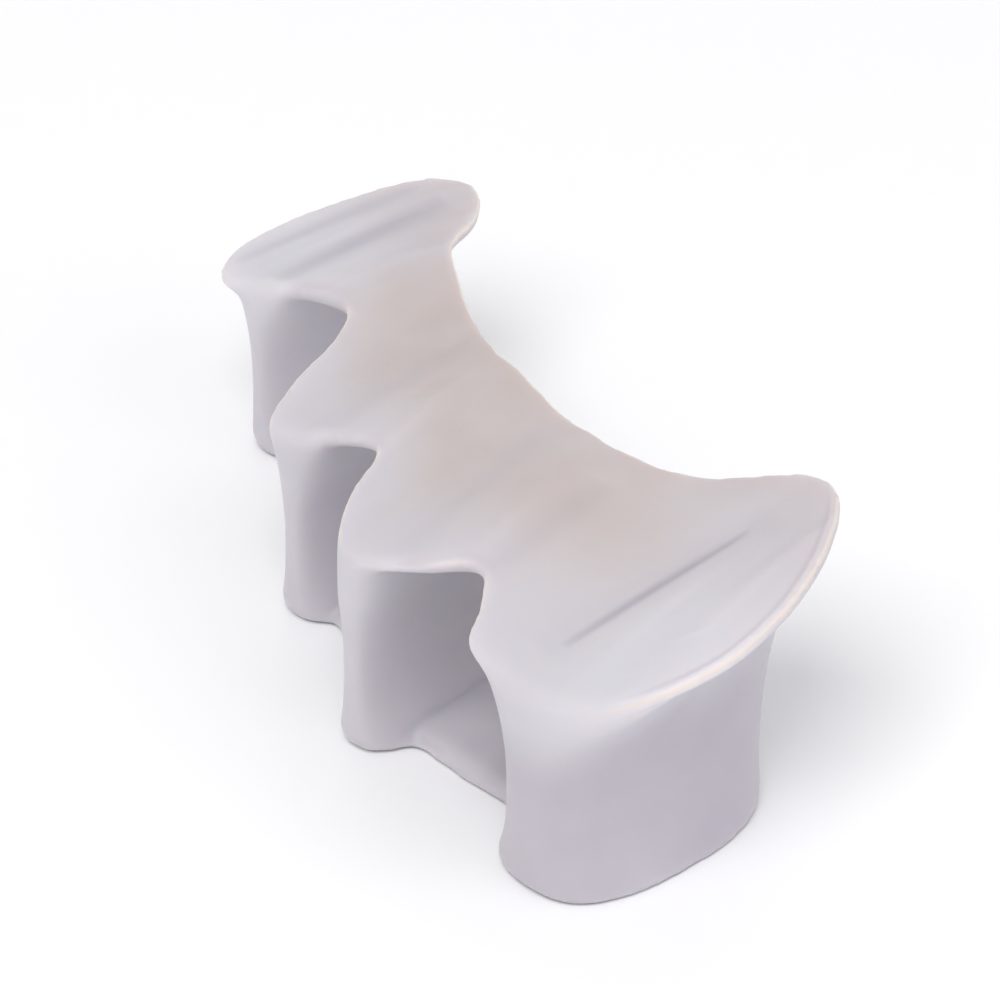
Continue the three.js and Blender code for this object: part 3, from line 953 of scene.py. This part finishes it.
def add_floor(stage):
    """Round floor that sweeps up into a wall: a profile of a flat run, a quarter circle and an upright,
    carried round the z axis"""
    bend = np.linspace(0, np.pi / 2, SWEEP_STEPS)
    wall = FLOOR_RADIUS + SWEEP_RADIUS
    radius = np.concatenate((FLOOR_RINGS, FLOOR_RADIUS + SWEEP_RADIUS * np.sin(bend), [wall]))
    height = np.concatenate(([0, 0], SWEEP_RADIUS * (1 - np.cos(bend)), [WALL_HEIGHT]))
    turn = np.linspace(0, 2 * np.pi, FLOOR_TURNS, endpoint=False)
    grid = np.dstack((
        radius[:, None] * np.cos(turn),
        radius[:, None] * np.sin(turn),
        np.broadcast_to(height[:, None], (len(radius), FLOOR_TURNS)),
    ))
    points = np.vstack(((0, 0, 0), grid.reshape(-1, 3)))
    number = 1 + np.arange(len(points) - 1).reshape(len(radius), FLOOR_TURNS)
    beside = np.roll(number, -1, axis=1)
    quads = np.stack((number[:-1], number[1:], beside[1:], beside[:-1]), axis=-1).reshape(-1, 4)
    middle = np.stack((np.zeros(FLOOR_TURNS, int), number[0], beside[0]), axis=-1)
    mesh = bpy.data.meshes.new("floor")
    mesh.from_pydata(points, [], [*middle.tolist(), *quads.tolist()])
    mesh.shade_smooth()
    mesh.materials.append(plain_material("painted_board", stage.floor_colour, 0.9))
    floor = bpy.data.objects.new("floor", mesh)
    bpy.context.collection.objects.link(floor)


# Lights: name, azimuth and elevation in degrees, distance, side length in metres, power in watts, colour
LIGHTS = (
    ("key", 22, 58, 1.00, 0.50, 5.2, "#FFFEFC"),
    ("fill", 100, 35, 1.00, 0.70, 1.3, "#FAFBFF"),
    ("back", 215, 55, 1.00, 0.60, 0.8, "#FFFCFA"),
)
WORLD_COLOUR = "#F4F5F8"
WORLD_STRENGTH = 0.60


def direction(azimuth, elevation):
    """Unit vector from the piece towards a viewer at the azimuth a and elevation e in radians:
    (sin a cos e, −cos a cos e, sin e)"""
    flat = math.cos(elevation)
    return Vector((math.sin(azimuth) * flat, -math.cos(azimuth) * flat, math.sin(elevation)))


def add_lights(scene):
    """Soft boxes round the piece under an even pale sky"""
    target = (LOW + HIGH) / 2
    for name, azimuth, elevation, distance, side, power, colour in LIGHTS:
        light = bpy.data.lights.new(name, "AREA")
        light.size = side
        light.energy = power
        light.color = linear(colour)
        towards = direction(math.radians(azimuth), math.radians(elevation))
        lamp = bpy.data.objects.new(name, light)
        lamp.location = target + towards * distance
        lamp.rotation_euler = (-towards).to_track_quat("-Z", "Y").to_euler()
        bpy.context.collection.objects.link(lamp)
    world = bpy.data.worlds.new("pale_sky")
    world.use_nodes = True
    background = world.node_tree.nodes["Background"]
    background.inputs["Color"].default_value = (*linear(WORLD_COLOUR), 1)
    background.inputs["Strength"].default_value = WORLD_STRENGTH
    scene.world = world


def add_camera(scene, stage):
    """Camera at the stage's distance from the big spacer's front foot, along the direction of its two
    angles, and turned to look at the middle of the piece"""
    foot = Vector((*on_plan(SPACERS[0][1:3]), 0))
    data = bpy.data.cameras.new("camera")
    data.lens = stage.lens
    data.sensor_width = 36
    data.clip_start = 0.01
    camera = bpy.data.objects.new("camera", data)
    camera.location = foot + direction(stage.azimuth, stage.elevation) * stage.distance
    aim = (LOW + HIGH) / 2 - camera.location
    camera.rotation_euler = aim.to_track_quat("-Z", "Y").to_euler()
    bpy.context.collection.objects.link(camera)
    scene.camera = camera
    scene.view_settings.view_transform = "Standard"


class TOESEP_PT_panel(bpy.types.Panel):
    """Sizes, colours and the steps that make the piece"""
    bl_label = "Toe Separator"
    bl_space_type = "VIEW_3D"
    bl_region_type = "UI"
    bl_category = "Toe Separator"

    def draw(self, context):
        for group in (context.scene.toesep_sizes, context.scene.toesep_colours, context.scene.toesep_stage):
            box = self.layout.box()
            for name in group.__annotations__:
                box.prop(group, name)
        for operator in (TOESEP_OT_moulded_body, TOESEP_OT_stage):
            self.layout.operator(operator.bl_idname)


CLASSES = (
    SeparatorSizes, SeparatorColours, StageSettings,
    TOESEP_OT_moulded_body, TOESEP_OT_stage, TOESEP_PT_panel,
)


def register():
    for each in CLASSES:
        bpy.utils.register_class(each)
    bpy.types.Scene.toesep_sizes = PointerProperty(type=SeparatorSizes)
    bpy.types.Scene.toesep_colours = PointerProperty(type=SeparatorColours)
    bpy.types.Scene.toesep_stage = PointerProperty(type=StageSettings)


def unregister():
    del bpy.types.Scene.toesep_stage
    del bpy.types.Scene.toesep_colours
    del bpy.types.Scene.toesep_sizes
    for each in reversed(CLASSES):
        bpy.utils.unregister_class(each)


def main():
    register()
    bpy.ops.toesep.moulded_body()
    bpy.ops.toesep.stage()


if __name__ == "__main__":
    main()
